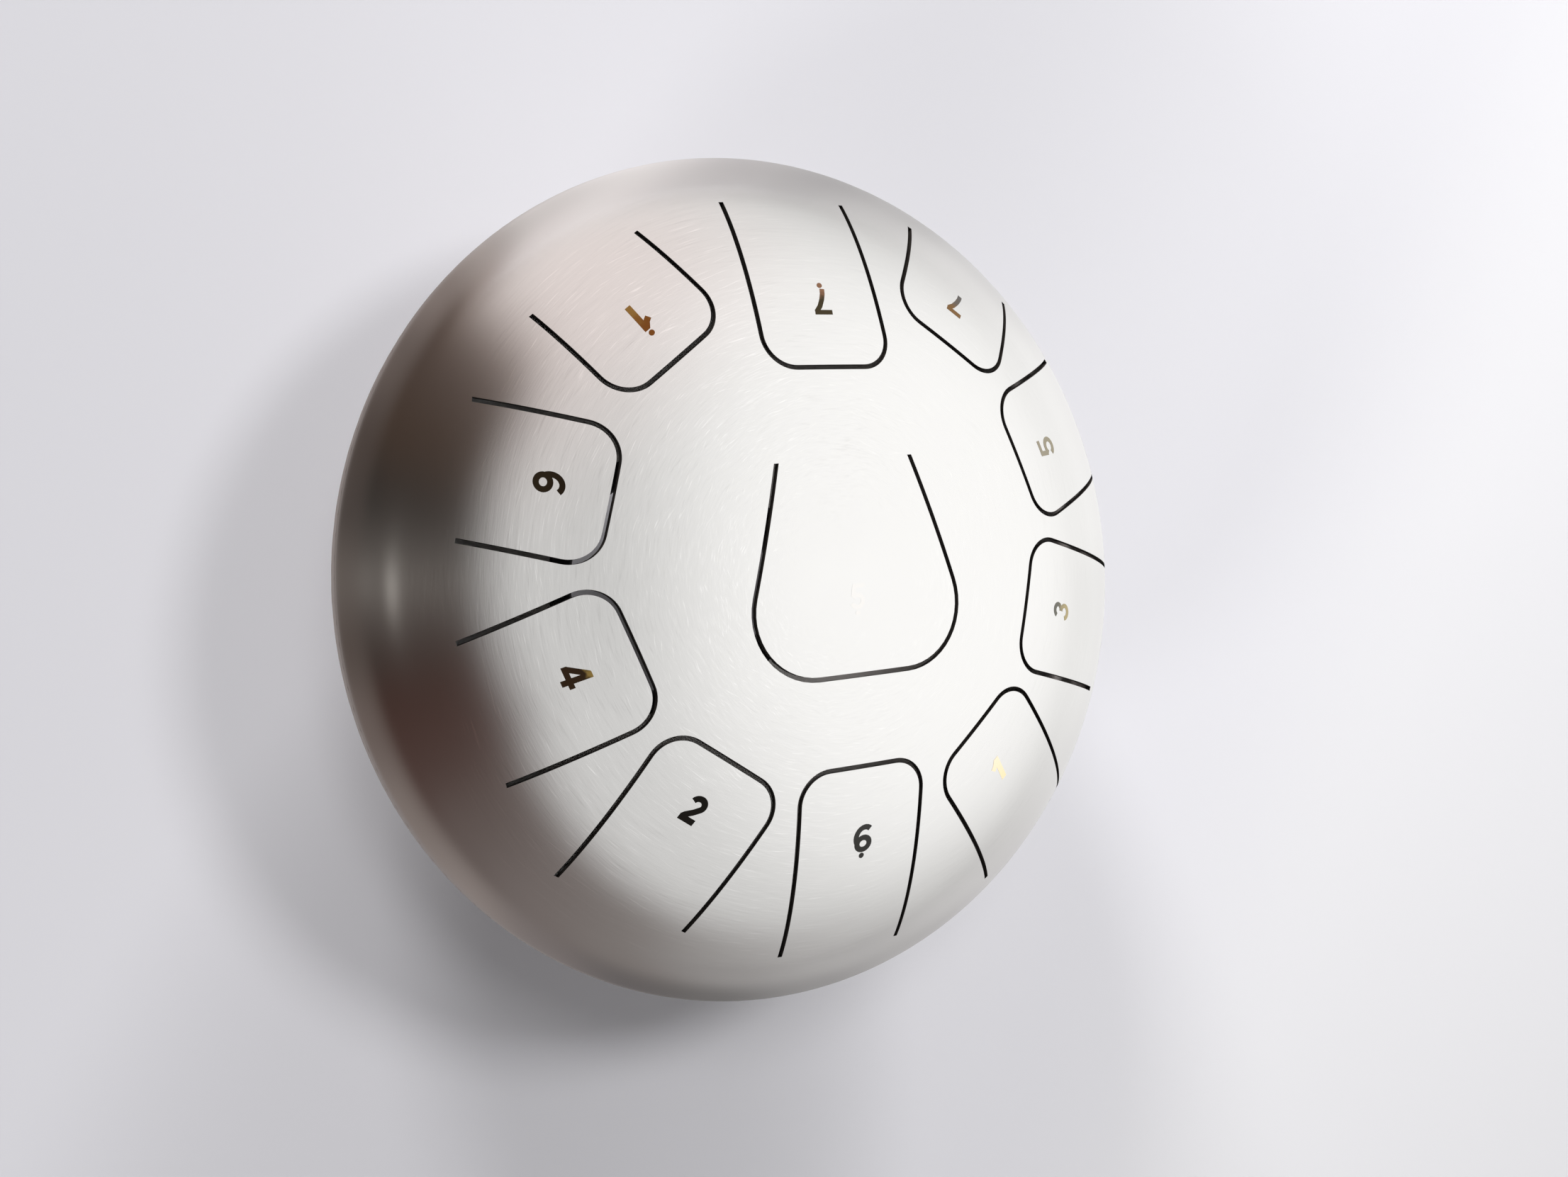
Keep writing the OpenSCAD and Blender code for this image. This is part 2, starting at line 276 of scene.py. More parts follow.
def makeOxideAndPaintedReflection(name, foot, head, drift, middle, up):
    # Steel that the marking laser has annealed: a thin clear oxide film over the polish, so the digit
    # mirrors sharply. Its tint is partly the film's own bronze and partly painted reflection: foot and head
    # are set lighter or darker, from straw to black, by what the digit mirrors where it stands. The tint
    # drifts from foot to head in patches, which on the 4 is a painted highlight near its head
    s = oxideSettings
    material, tree = newMaterial(name)
    coordinates = addNode(tree, "TexCoord").outputs["Object"]
    noise = addNode(tree, "TexNoise", {"Vector": coordinates, "Scale": 1000 / s["patch"], "Detail": 3})
    height = addNode(tree, "VectorMath", {0: coordinates, 1: up}, operation="DOT_PRODUCT")
    height = addNode(tree, "Math", {0: height.outputs["Value"], 1: middle.dot(up)}, operation="SUBTRACT")
    height = addNode(tree, "Math", {0: noise, 1: s["patchTone"], 2: height}, operation="MULTIPLY_ADD")
    share = addNode(tree, "MapRange", {"Value": height, "From Min": drift[0], "From Max": drift[1]},
                    interpolation_type="SMOOTHSTEP")
    # Foot and head tints: the oxide's own colour with painted reflection
    color = addNode(tree, "ValToRGB", {"Fac": share}, [(0, foot), (1, head)])
    shader = addNode(tree, "BsdfPrincipled",
                     {"Base Color": color, "Metallic": 1, "Roughness": s["roughness"]})
    addNode(tree, "OutputMaterial", {"Surface": shader})
    return material


print("materials ready")


def domeSizes(inset):
    return drum["radius"] - inset, drum["domeHeight"] - inset


def onDome(p):
    # The point of the outer skin over or under p
    radius, height = domeSizes(0)
    share = math.hypot(p.x, p.y) / radius
    return Vector((p.x, p.y, drum["rimZ"] + height * math.sqrt(max(0, 1 - share ** 2))))


def domeNormal(p, inset=0.0):
    radius, height = domeSizes(inset)
    return Vector((p.x / radius ** 2, p.y / radius ** 2, (p.z - drum["rimZ"]) / height ** 2)).normalized()


def isOnSkin(p, inset):
    radius, height = domeSizes(inset)
    level = math.sqrt((p.x ** 2 + p.y ** 2) / radius ** 2 + ((p.z - drum["rimZ"]) / height) ** 2) - 1
    return abs(level) < drum["sheet"] / drum["domeHeight"] / 6


def skinArc(inset, start, end, count):
    # Points of a skin in the x-z plane, from 0 degrees at the rim to 90 at the crown
    radius, height = domeSizes(inset)
    angles = [math.radians(start + (end - start) * i / count) for i in range(count + 1)]
    return [Vector((radius * math.cos(a), 0, drum["rimZ"] + height * math.sin(a))) for a in angles]


def spinProfile(mesh, points, steps):
    verts = [mesh.verts.new(p) for p in points]
    edges = [mesh.edges.new(pair) for pair in zip(verts, verts[1:])]
    bmesh.ops.spin(mesh, geom=verts + edges, cent=(0, 0, 0), axis=(0, 0, 1), angle=2 * math.pi, steps=steps,
                   use_merge=True)
    bmesh.ops.remove_doubles(mesh, verts=mesh.verts, dist=1e-6)
    bmesh.ops.dissolve_degenerate(mesh, dist=1e-8, edges=mesh.edges)
    bmesh.ops.recalc_face_normals(mesh, faces=mesh.faces)


def finishObject(mesh, name, materials):
    data = bpy.data.meshes.new(name)
    mesh.to_mesh(data)
    mesh.free()
    data.shade_smooth()
    piece = bpy.data.objects.new(name, data)
    bpy.context.scene.collection.objects.link(piece)
    for material in materials:
        data.materials.append(material)
    return piece


def booleanWith(piece, cutter, operation):
    # Cuts or joins, and takes the cutter away
    modifier = piece.modifiers.new("cut", "BOOLEAN")
    modifier.operation = operation
    modifier.solver = "EXACT"
    modifier.object = cutter
    bpy.context.view_layer.update()
    old = piece.data
    piece.data = bpy.data.meshes.new_from_object(piece.evaluated_get(bpy.context.evaluated_depsgraph_get()))
    piece.modifiers.clear()
    bpy.data.meshes.remove(old)
    bpy.data.objects.remove(cutter)


def dressShell(piece):
    # The exact normals of the ellipsoids on both skins, and the cut edge on the walls between them
    data = piece.data
    normals = [Vector((0, 0, 1))] * len(data.loops)
    for polygon in data.polygons:
        corners = [data.vertices[v].co for v in polygon.vertices]
        outer = isOnSkin(polygon.center, 0) and all(isOnSkin(p, 0) for p in corners)
        inner = all(isOnSkin(p, drum["sheet"]) for p in corners)
        polygon.use_smooth = True
        polygon.material_index = 0 if outer or inner else 1
        for loop, p in zip(polygon.loop_indices, corners):
            if outer:
                normals[loop] = domeNormal(p)
            elif inner:
                normals[loop] = -domeNormal(p, drum["sheet"])
            else:
                normals[loop] = polygon.normal.copy()
    data.normals_split_custom_set(normals)


# Bearing is that of the root, in degrees. Tip, the ends of the left and right slots, and side, the offset
# to the left, are shares of the radius. Share is the width against the others'
tonguePlaces = dict(
    tongue_low_6=dict(bearing=272.6, tip=0.431, left=0.868, right=0.857, side=0.028, share=1),
    tongue_low_7=dict(bearing=90.7, tip=0.457, left=0.851, right=0.855, side=-0.031, share=1),
    tongue_1=dict(bearing=312.4, tip=0.519, left=0.930, right=0.900, side=0.022, share=1),
    tongue_2=dict(bearing=236.1, tip=0.478, left=0.827, right=0.856, side=-0.011, share=1),
    tongue_3=dict(bearing=346.9, tip=0.534, left=0.922, right=0.891, side=0.035, share=1),
    tongue_4=dict(bearing=201.9, tip=0.495, left=0.829, right=0.802, side=-0.053, share=1),
    tongue_5=dict(bearing=21.1, tip=0.592, left=0.907, right=0.926, side=0.029, share=1),
    tongue_6=dict(bearing=163.9, tip=0.541, left=0.814, right=0.836, side=-0.033, share=0.95),
    tongue_7=dict(bearing=55.2, tip=0.636, left=0.889, right=0.899, side=-0.007, share=1),
    tongue_high_1=dict(bearing=127.0, tip=0.583, left=0.837, right=0.832, side=-0.023, share=1),
    tongue_low_5=dict(bearing=92.3, tip=-0.226, left=0.250, right=0.250, side=-0.036, share=1),
)
# Slant is how far the sides draw in towards the root, in degrees. BendTo is a share of a tongue's length
# from the tip. The cutters reach between two shares of the dome's height
ringShape = dict(width=0.0318, corner=0.0073, slant=0)
middleShape = dict(width=0.0624, corner=0.0147, slant=16.5)
tongueShape = dict(cornerSteps=14, bendTo=0.65, cutterFrom=0.2, cutterTo=1.1)
middleTongue = "tongue_low_5"


def tongueLength(name):
    place = tonguePlaces[name]
    return ((place["left"] + place["right"]) / 2 - place["tip"]) * drum["radius"]


def tongueOutline(name, grow):
    # The outline in the tongue's own plane, x from its tip line and y to its left, anticlockwise
    place, length = tonguePlaces[name], tongueLength(name)
    shape = middleShape if name == middleTongue else ringShape
    skew = (place["left"] - place["right"]) * drum["radius"]
    width, corner, slant = shape["width"] * place["share"], shape["corner"], math.radians(shape["slant"])
    arc = corner + grow
    cornerY = width / 2 - corner / math.tan((math.pi / 2 - slant) / 2)
    sideX, sideY = corner + arc * math.sin(slant), cornerY + arc * math.cos(slant)
    rootY = sideY - (length - sideX) * math.tan(slant)
    rootX = skew * rootY / width
    steps = tongueShape["cornerSteps"]
    leftArc = []
    for i in range(steps + 1):
        a = math.radians(90) - slant + (math.radians(90) + slant) * i / steps
        leftArc.append((corner + arc * math.cos(a), cornerY + arc * math.sin(a)))
    rightArc = [(x, -y) for x, y in reversed(leftArc)]
    return [(length + rootX, rootY)] + leftArc + rightArc + [(length - rootX, -rootY)]


def tongueFrame(name):
    place = tonguePlaces[name]
    tip = Matrix.Translation((place["tip"] * drum["radius"], place["side"] * drum["radius"], 0))
    return Matrix.Rotation(math.radians(place["bearing"]), 4, "Z") @ tip


def makeCutter(name, grow):
    # An upright prism over a tongue
    turn = tongueFrame(name)
    base = drum["rimZ"] + drum["domeHeight"] * tongueShape["cutterFrom"]
    top = drum["rimZ"] + drum["domeHeight"] * tongueShape["cutterTo"]
    mesh = bmesh.new()
    verts = [mesh.verts.new(turn @ Vector((x, y, base))) for x, y in tongueOutline(name, grow)]
    pushed = bmesh.ops.extrude_face_region(mesh, geom=[mesh.faces.new(verts)])["geom"]
    pushed = [v for v in pushed if isinstance(v, bmesh.types.BMVert)]
    bmesh.ops.translate(mesh, vec=(0, 0, top - base), verts=pushed)
    bmesh.ops.recalc_face_normals(mesh, faces=mesh.faces)
    return finishObject(mesh, "cutter", [])


domeSettings = dict(steps=288, outerRows=72, innerRows=36, grooveDepth=0.001)


def makeDome(s):
    # The whole upper dome with its thickness, before the slots. Its rim ends at the root of the weld
    groove = math.degrees(math.asin(drum["weldHalf"] / drum["domeHeight"]))
    root = Vector((drum["radius"] - s["grooveDepth"], 0, drum["rimZ"]))
    outer = skinArc(0, groove, 90, s["outerRows"])
    inner = skinArc(drum["sheet"], 90, 0, s["innerRows"])
    outer[-1].x = inner[0].x = 0
    mesh = bmesh.new()
    spinProfile(mesh, [root] + outer, s["steps"])
    spinProfile(mesh, inner + [root], s["steps"])
    return finishObject(mesh, "upper_dome", [steel, cutEdge])


dome = makeDome(domeSettings)
print("dome spun", len(dome.data.polygons))


def makeTongue(name):
    # A plate cut from the whole dome, in place of the CAD tongue
    piece = bpy.data.objects.new(name + "_plate", dome.data.copy())
    bpy.context.scene.collection.objects.link(piece)
    booleanWith(piece, makeCutter(name, -drum["slot"] / 2), "INTERSECT")
    dressShell(piece)
    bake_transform(piece)
    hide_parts(name)
    print(name, len(piece.data.polygons))


for name in tonguePlaces:
    makeTongue(name)
for name in tonguePlaces:
    booleanWith(dome, makeCutter(name, drum["slot"] / 2), "DIFFERENCE")
dressShell(dome)
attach(dome, "shell")
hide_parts("top_shell")
print("upper dome", len(dome.data.polygons))


def arcStroke(x, y, across, high, start, end, count=14):
    angles = [math.radians(start + (end - start) * i / count) for i in range(count + 1)]
    return [(x + across * math.cos(a), y + high * math.sin(a)) for a in angles]


# Middle lines of the strokes, in a box one digit high
digitStrokes = {
    "1": [[(0.08, 0.67), (0.22, 0.75), (0.36, 0.93)], [(0.38, 0.0), (0.38, 1.0)]],
    "2": [arcStroke(0.33, 0.70, 0.235, 0.215, 168, -28) + [(0.37, 0.40), (0.15, 0.20), (0.09, 0.10)],
          [(0.0, 0.08), (0.63, 0.08)]],
    "3": [arcStroke(0.31, 0.73, 0.21, 0.19, 165, -90), arcStroke(0.32, 0.30, 0.235, 0.215, 90, -165)],
    "4": [[(0.44, 0.95), (0.08, 0.30)], [(0.0, 0.27), (0.70, 0.27)], [(0.47, 0.0), (0.47, 1.0)]],
    "5": [[(0.16, 0.92), (0.62, 0.92)], [(0.20, 0.99), (0.14, 0.50)],
          arcStroke(0.32, 0.32, 0.235, 0.235, 142, -162)],
    "6": [arcStroke(0.33, 0.31, 0.24, 0.225, 0, 360, 28), arcStroke(0.34, 0.56, 0.32, 0.365, 218, 52, 20)],
    "7": [[(0.02, 0.92), (0.68, 0.92)],
          [(0.62, 0.90), (0.46, 0.68), (0.35, 0.42), (0.29, 0.20), (0.27, 0.0)]],
}
# Height, rise, depth and cell are in metres, the rest in heights of the digit. The plate rises a little
# above the steel and reaches down into it, and cell is how finely it is cut to bend over the dome
digitShape = dict(height=0.0062, slant=0.07, dot=0.2, dotGap=0.14, middle=0.34,
                  rise=0.00003, depth=0.00008, cell=0.0008, drift=(-0.1, 0.8))
# Dot is 1 over the digit and -1 under it. Away is the distance from the axis, or on the middle tongue
# from its tip, and side the offset across, both as shares of the radius. The marks aren't alike: along
# and wide are the digit's size against the common one, stroke the width of its line, foot and head its
# tints, and drift the heights between which one turns to the other. The tints are partly the oxide's own
# colour and partly painted reflection, light or dark by what each digit mirrors where it stands, and the
# gold head of the 4 is a painted highlight
digitPlaces = dict(
    tongue_6=dict(digit="6", dot=0, away=0.668, side=-0.0034, along=1.01, wide=1.05, stroke=0.195,
                  foot="#2e261b", head="#2a2219"),
    tongue_4=dict(digit="4", dot=0, away=0.6276, side=-0.003, along=1.04, wide=1.15, stroke=0.184,
                  foot="#33251a", head="#8d7440", drift=(0.6, 0.85)),
    tongue_2=dict(digit="2", dot=0, away=0.601, side=-0.0067, along=0.985, wide=1, stroke=0.224,
                  foot="#1f1c19", head="#1d1b18"),
    tongue_low_6=dict(digit="6", dot=-1, away=0.5986, side=0.0097, along=1, wide=1.06, stroke=0.2,
                      foot="#363533", head="#393836"),
    tongue_1=dict(digit="1", dot=0, away=0.66, side=-0.0081, along=1.02, wide=1.16, stroke=0.215,
                  foot="#f4e0b6", head="#f1e0c2"),
    tongue_3=dict(digit="3", dot=0, away=0.6715, side=0.0005, along=1, wide=1.03, stroke=0.162,
                  foot="#a99b74", head="#66655d"),
    tongue_5=dict(digit="5", dot=0, away=0.7124, side=-0.0067, along=1, wide=1.23, stroke=0.16,
                  foot="#948c77", head="#958d7b"),
    tongue_7=dict(digit="7", dot=0, away=0.756, side=0.0023, along=0.97, wide=1.047, stroke=0.185,
                  foot="#64605c", head="#7c5c38"),
    tongue_low_7=dict(digit="7", dot=-1, away=0.6085, side=-0.012, along=0.966, wide=1.09, stroke=0.18,
                      foot="#82604a", head="#403829", drift=(-0.2, 0.3)),
    tongue_high_1=dict(digit="1", dot=1, away=0.6973, side=-0.0015, along=1, wide=1.17, stroke=0.21,
                       foot="#8a6a38", head="#744822"),
    tongue_low_5=dict(digit="5", dot=-1, away=0.1725, side=0.0085, along=0.9, wide=0.98, stroke=0.17,
                      foot="#dddbd8", head="#dddbd8"),
)


def strokePlate(points, width):
    # A closed plate from z 0 to 1 along a middle line, with square ends: one side's row of edges is
    # extruded across to the other side, and the strip that this gives is extruded upwards
    line = [Vector(p) for p in points]
    closed = (line[0] - line[-1]).length < 1e-6
    if closed:
        line.pop()
    sides = []
    for i, p in enumerate(line):
        before = line[i - 1] if i or closed else None
        after = line[(i + 1) % len(line)] if i + 1 < len(line) or closed else None
        one = (p - before).normalized() if before else (after - p).normalized()
        two = (after - p).normalized() if after else one
        along = (one + two).normalized()
        half = width / 2 / max(0.5, math.sqrt((1 + one.dot(two)) / 2))
        sides.append(Vector((-along.y, along.x)) * half)
    mesh = bmesh.new()
    verts = [mesh.verts.new((p + side).to_3d()) for p, side in zip(line, sides)]
    following = verts[1:] + verts[:1] if closed else verts[1:]
    edges = [mesh.edges.new(pair) for pair in zip(verts, following)]
    bmesh.ops.extrude_edge_only(mesh, edges=edges)
    row = set(verts)
    for vert, p, side in zip(verts, line, sides):
        across = [edge.other_vert(vert) for edge in vert.link_edges if edge.other_vert(vert) not in row]
        across[0].co = (p - side).to_3d()
    pushed = bmesh.ops.extrude_face_region(mesh, geom=mesh.faces[:])["geom"]
    pushed = [v for v in pushed if isinstance(v, bmesh.types.BMVert)]
    bmesh.ops.translate(mesh, vec=(0, 0, 1), verts=pushed)
    bmesh.ops.recalc_face_normals(mesh, faces=mesh.faces)
    return finishObject(mesh, "stroke", [])


def dotPlate(x, y, radius):
    mesh = bmesh.new()
    bmesh.ops.create_cone(mesh, cap_ends=True, segments=32, radius1=radius, radius2=radius, depth=1)
    bmesh.ops.translate(mesh, vec=(x, y, 0.5), verts=mesh.verts)
    return finishObject(mesh, "dot", [])


def cutInCells(mesh, axis, cell):
    # Parallel cuts, so that the plate can bend over the dome
    low = min(v.co[axis] for v in mesh.verts)
    high = max(v.co[axis] for v in mesh.verts)
    cuts = int((high - low) / cell)
    normal = Vector((0, 0, 0))
    normal[axis] = 1
    for i in range(1, cuts):
        place = normal * (low + (high - low) * i / cuts)
        bmesh.ops.bisect_plane(mesh, geom=mesh.verts[:] + mesh.edges[:] + mesh.faces[:], dist=1e-9,
                               plane_co=place, plane_no=normal)


def makeDigit(tongue, mark):
    s = digitShape
    parts = [strokePlate(points, mark["stroke"]) for points in digitStrokes[mark["digit"]]]
    if mark["dot"]:
        y = -s["dotGap"] if mark["dot"] < 0 else 1 + s["dotGap"]
        parts.append(dotPlate(s["middle"], y, s["dot"] / 2))
    piece = parts[0]
    for part in parts[1:]:
        booleanWith(piece, part, "UNION")
    mesh = bmesh.new()
    mesh.from_mesh(piece.data)
    # Leans the digit and gives it its size
    high, wide = s["height"] * mark["along"], s["height"] * mark["wide"]
    for v in mesh.verts:
        x, y = v.co.x - s["middle"], v.co.y - 0.5
        v.co = Vector(((x + s["slant"] * y) * wide, y * high, v.co.z))
    for axis in (0, 1):
        cutInCells(mesh, axis, s["cell"])
    # Lays it on the dome, with its head towards the tongue's tip
    place = tonguePlaces[tongue]
    turn = Matrix.Rotation(math.radians(place["bearing"]), 3, "Z")
    inMiddle = tongue == middleTongue
    up = turn @ Vector((1 if inMiddle else -1, 0, 0))
    across = Vector((up.y, -up.x, 0))
    away = place["tip"] + mark["away"] if inMiddle else mark["away"]
    start = turn @ Vector((away * drum["radius"], (mark["side"] + place["side"]) * drum["radius"], 0))
    for v in mesh.verts:
        p = onDome(start + across * v.co.x + up * v.co.y)
        v.co = p + domeNormal(p) * (s["rise"] if v.co.z > 0.5 else -s["depth"])
    bmesh.ops.recalc_face_normals(mesh, faces=mesh.faces)
    mesh.to_mesh(piece.data)
    mesh.free()
    normals = []
    for polygon in piece.data.polygons:
        polygon.use_smooth = True
        for v in polygon.vertices:
            normal = domeNormal(piece.data.vertices[v].co)
            normals.append(normal if polygon.normal.dot(normal) > 0.7 else polygon.normal.copy())
    piece.data.normals_split_custom_set(normals)
    piece.name = "digit_" + tongue[7:]
    piece.data.materials.clear()
    piece.data.materials.append(makeOxideAndPaintedReflection("oxide_and_painted_reflection_" + piece.name, mark["foot"], mark["head"],
                                          mark.get("drift", s["drift"]), onDome(start), up / high))
    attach(piece, tongue)


for tongue, mark in digitPlaces.items():
    makeDigit(tongue, mark)
print("digits ready")

# What the photograph hides is the CAD's own shape with these finishes
cadFinishes = dict(bottom_shell=steel, rim_weld=steel, hole_edging=rubber, foot_rear_right=rubber,
                   foot_rear_left=rubber, foot_front_left=rubber, foot_front_right=rubber,
                   foot_screws=zinc, foot_washers=zinc, foot_nuts=zinc)
for node, material in cadFinishes.items():
    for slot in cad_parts[node].material_slots:
        slot.material = material
print("lower dome ready")

# A pale painted table top. Its tone is painted lighter along a slope of the floor, to the side of the
# window:
# painted light, for the window's light falling off across the floor
floorSettings = dict(size=4, turn=-0.6, slopeFrom=-0.3, slopeTo=0.3, roughness=0.8,
                     tones=[(0.05, "#d6d5da"), (0.5, "#e2e1e6"), (0.8, "#f4f3f8"), (1, "#fdfcff")],
                     plainFrom=0.5, plainTo=1.3, plain="#f0f0f2")


def makeFloor(s):
    mesh = bmesh.new()
    bmesh.ops.create_grid(mesh, x_segments=1, y_segments=1, size=s["size"])
    material, tree = newMaterial("pale_floor")
    coordinates = addNode(tree, "TexCoord").outputs["Object"]
    x, y = addNode(tree, "SeparateXYZ", {"Vector": coordinates}).outputs[:2]
    # Painted light: the floor's colour rises along this slope towards the window
    slope = addNode(tree, "Math", {0: y, 1: s["turn"], 2: x}, operation="MULTIPLY_ADD")
    slope = addNode(tree, "MapRange",
                    {"Value": slope, "From Min": s["slopeFrom"], "From Max": s["slopeTo"]})
    color = addNode(tree, "ValToRGB", {"Fac": slope}, s["tones"])
    lit = addNode(tree, "BsdfPrincipled", {"Base Color": color, "Roughness": s["roughness"]})
    # Far from the lamps the camera sees a plain pale floor that runs into the background
    away = addNode(tree, "VectorMath", {0: coordinates}, operation="LENGTH").outputs["Value"]
    far = addNode(tree, "MapRange",
                  {"Value": away, "From Min": s["plainFrom"], "From Max": s["plainTo"]},
                  interpolation_type="SMOOTHSTEP")
    seen = addNode(tree, "LightPath").outputs["Is Camera Ray"]
    far = addNode(tree, "Math", {0: far, 1: seen}, operation="MULTIPLY")
    plain = addNode(tree, "Emission", {"Color": linear(s["plain"]), "Strength": 1})
    surface = addNode(tree, "MixShader", {0: far, 1: lit, 2: plain})
    # From below the floor is clear, so that the underside of the drum can be seen
    behind = addNode(tree, "NewGeometry").outputs["Backfacing"]
    behind = addNode(tree, "Math", {0: behind, 1: seen}, operation="MULTIPLY")
    clear = addNode(tree, "BsdfTransparent")
    surface = addNode(tree, "MixShader", {0: behind, 1: surface, 2: clear})
    addNode(tree, "OutputMaterial", {"Surface": surface})
    finishObject(mesh, "floor", [material])


makeFloor(floorSettings)


def directionTo(bearing, height):
    # Bearing 0 is +X and 90 is +Y, height is above the horizon, both in degrees
    bearing, height = math.radians(bearing), math.radians(height)
    level = math.cos(height)
    return Vector((math.cos(bearing) * level, math.sin(bearing) * level, math.sin(height)))


def lobeShare(tree, direction, lobe):
    # How far a direction lies within a round patch of light or tint, from 0 outside outer to 1 inside inner
    toward = directionTo(lobe["bearing"], lobe["height"])
    dot = addNode(tree, "VectorMath", {0: direction, 1: toward}, operation="DOT_PRODUCT")
    return addNode(tree, "MapRange",
                   {"Value": dot.outputs["Value"], "From Min": math.cos(math.radians(lobe["outer"])),
                    "From Max": math.cos(math.radians(lobe["inner"]))}, interpolation_type="SMOOTHSTEP")


# Level lights the object evenly, shown is what the steel mirrors, with lobes for the brighter and dimmer
# parts of the sky and a blush beside the window, and backdrop is what the camera sees
worldSettings = dict(level=0.12, shown=0.88, backdrop=0.87, color="#fefefe",
                     tint=dict(bearing=112, height=26, outer=52, inner=8, color="#fef3f1"),
                     lobes=[dict(bearing=3, height=42, outer=61, inner=18, gain=0.5),
                            dict(bearing=90, height=24, outer=42, inner=14, gain=0.19),
                            dict(bearing=150, height=84, outer=24, inner=6, gain=-0.09)])


def makeWorld(s):
    world = bpy.data.worlds.new("studio")
    bpy.context.scene.world = world
    world.use_nodes = True
    tree = world.node_tree
    tree.nodes.clear()
    direction = addNode(tree, "TexCoord").outputs["Generated"]
    shown = s["shown"] - s["level"]
    for lobe in s["lobes"]:
        share = lobeShare(tree, direction, lobe)
        shown = addNode(tree, "Math", {0: share, 1: lobe["gain"], 2: shown}, operation="MULTIPLY_ADD")
    rays = addNode(tree, "LightPath").outputs
    mirrored = addNode(tree, "Math", {0: rays["Is Glossy Ray"], 1: rays["Is Transmission Ray"]},
                       operation="MAXIMUM")
    strength = addNode(tree, "Math", {0: shown, 1: mirrored, 2: s["level"]}, operation="MULTIPLY_ADD")
    strength = addNode(tree, "Math",
                       {0: rays["Is Camera Ray"], 1: s["backdrop"] - s["level"], 2: strength},
                       operation="MULTIPLY_ADD")
    share = addNode(tree, "Math", {0: lobeShare(tree, direction, s["tint"]), 1: mirrored},
                    operation="MULTIPLY")
    color = addNode(tree, "Mix", {0: share, 6: linear(s["color"]), 7: linear(s["tint"]["color"])},
                    data_type="RGBA").outputs[2]
    background = addNode(tree, "Background", {"Color": color, "Strength": strength})
    addNode(tree, "OutputWorld", {"Surface": background})


makeWorld(worldSettings)

# The dark side of the room, which the drum's left flank mirrors: a half sphere of painted surroundings
# with a floor, a little above the real one. Stops are at bearings in degrees. Ring is the colour far off,
# nearRing that of the floor nearby, partly its own tone and partly a painted shadow of the drum, and under
# that beside the feet, a painted shadow of the drum where it overhangs the floor. Top is the upper edge as
# a share of 90 degrees, and fade how many degrees it takes to either side. Sides and floorSides are how
# much of the world the card covers, above the horizon and near the floor, with floorFade the heights in
# degrees at which the floor's part sets in
darkSideSettings = dict(
    radius=1.6, lift=0.0006, strength=1.37, nearFrom=0.13, nearTo=0.36, underFrom=0.106, underTo=0.128,
    fade=11, floorFade=(12, 2),
    under=[(0, "#a9a7a7"), (40, "#a9a7a7"), (70, "#b2aead"), (95, "#b6b0af"), (115, "#9f9794"),
           (130, "#877f7d"), (285, "#767271"), (310, "#7d7979"), (335, "#a09e9e")],
    ring=[(0, "#f1f1f1"), (22, "#f3f3f3"), (38, "#dfdede"), (50, "#c2c0c0"), (62, "#a5a2a2"),
          (72, "#b2adad"), (95, "#e6dfde"), (108, "#dfd6d5"), (118, "#9d8f89"), (128, "#53453e"),
          (136, "#493d37"), (150, "#40332b"), (162, "#2d2a28"), (171, "#4b4643"), (177, "#77726e"),
          (183, "#4c4542"), (190, "#372f2c"), (198, "#3e2b26"), (212, "#483632"), (228, "#605653"),
          (245, "#706866"), (262, "#797371"), (280, "#8b8887"), (300, "#a8a6a6"), (320, "#c9c8c8"),
          (348, "#e9e9e9")],
    nearRing=[(0, "#e2e1e1"), (22, "#e4e3e3"), (38, "#cecdcd"), (50, "#b2b0b0"), (62, "#9e9b9b"),
              (74, "#aea9a9"), (92, "#e3dddc"), (108, "#cdc6c4"), (118, "#a19793"), (128, "#7f7470"),
              (140, "#635955"), (155, "#4a413d"), (166, "#48413e"), (177, "#605955"), (187, "#514844"),
              (200, "#665b57"), (215, "#796f6b"), (230, "#837a77"), (245, "#736c6b"), (260, "#605c5c"),
              (275, "#62605f"), (290, "#817f7e"), (305, "#a2a09f"), (320, "#c1bfbf"), (335, "#d4d3d3"),
              (350, "#dedddd")],
    top=[(0, 0.15), (106, 0.15), (112, 0.5), (140, 0.555), (170, 0.585), (200, 0.59), (216, 0.61),
         (226, 0.53), (238, 0.48), (250, 0.41), (262, 0.35), (275, 0.28), (290, 0.22), (315, 0.15)],
    sides=[(112, 0.0), (125, 1.0), (262, 1.0), (290, 0.8), (312, 0.5), (340, 0.0)],
    floorSides=[(0, 1.0), (48, 0.8), (75, 0.7), (112, 0.8), (125, 1.0), (262, 1.0), (290, 0.8),
                (312, 0.7), (335, 0.9), (350, 1.0)],
    lobe=dict(bearing=178, height=11, outer=5.5, inner=0.5, color="#c9c4bf"))


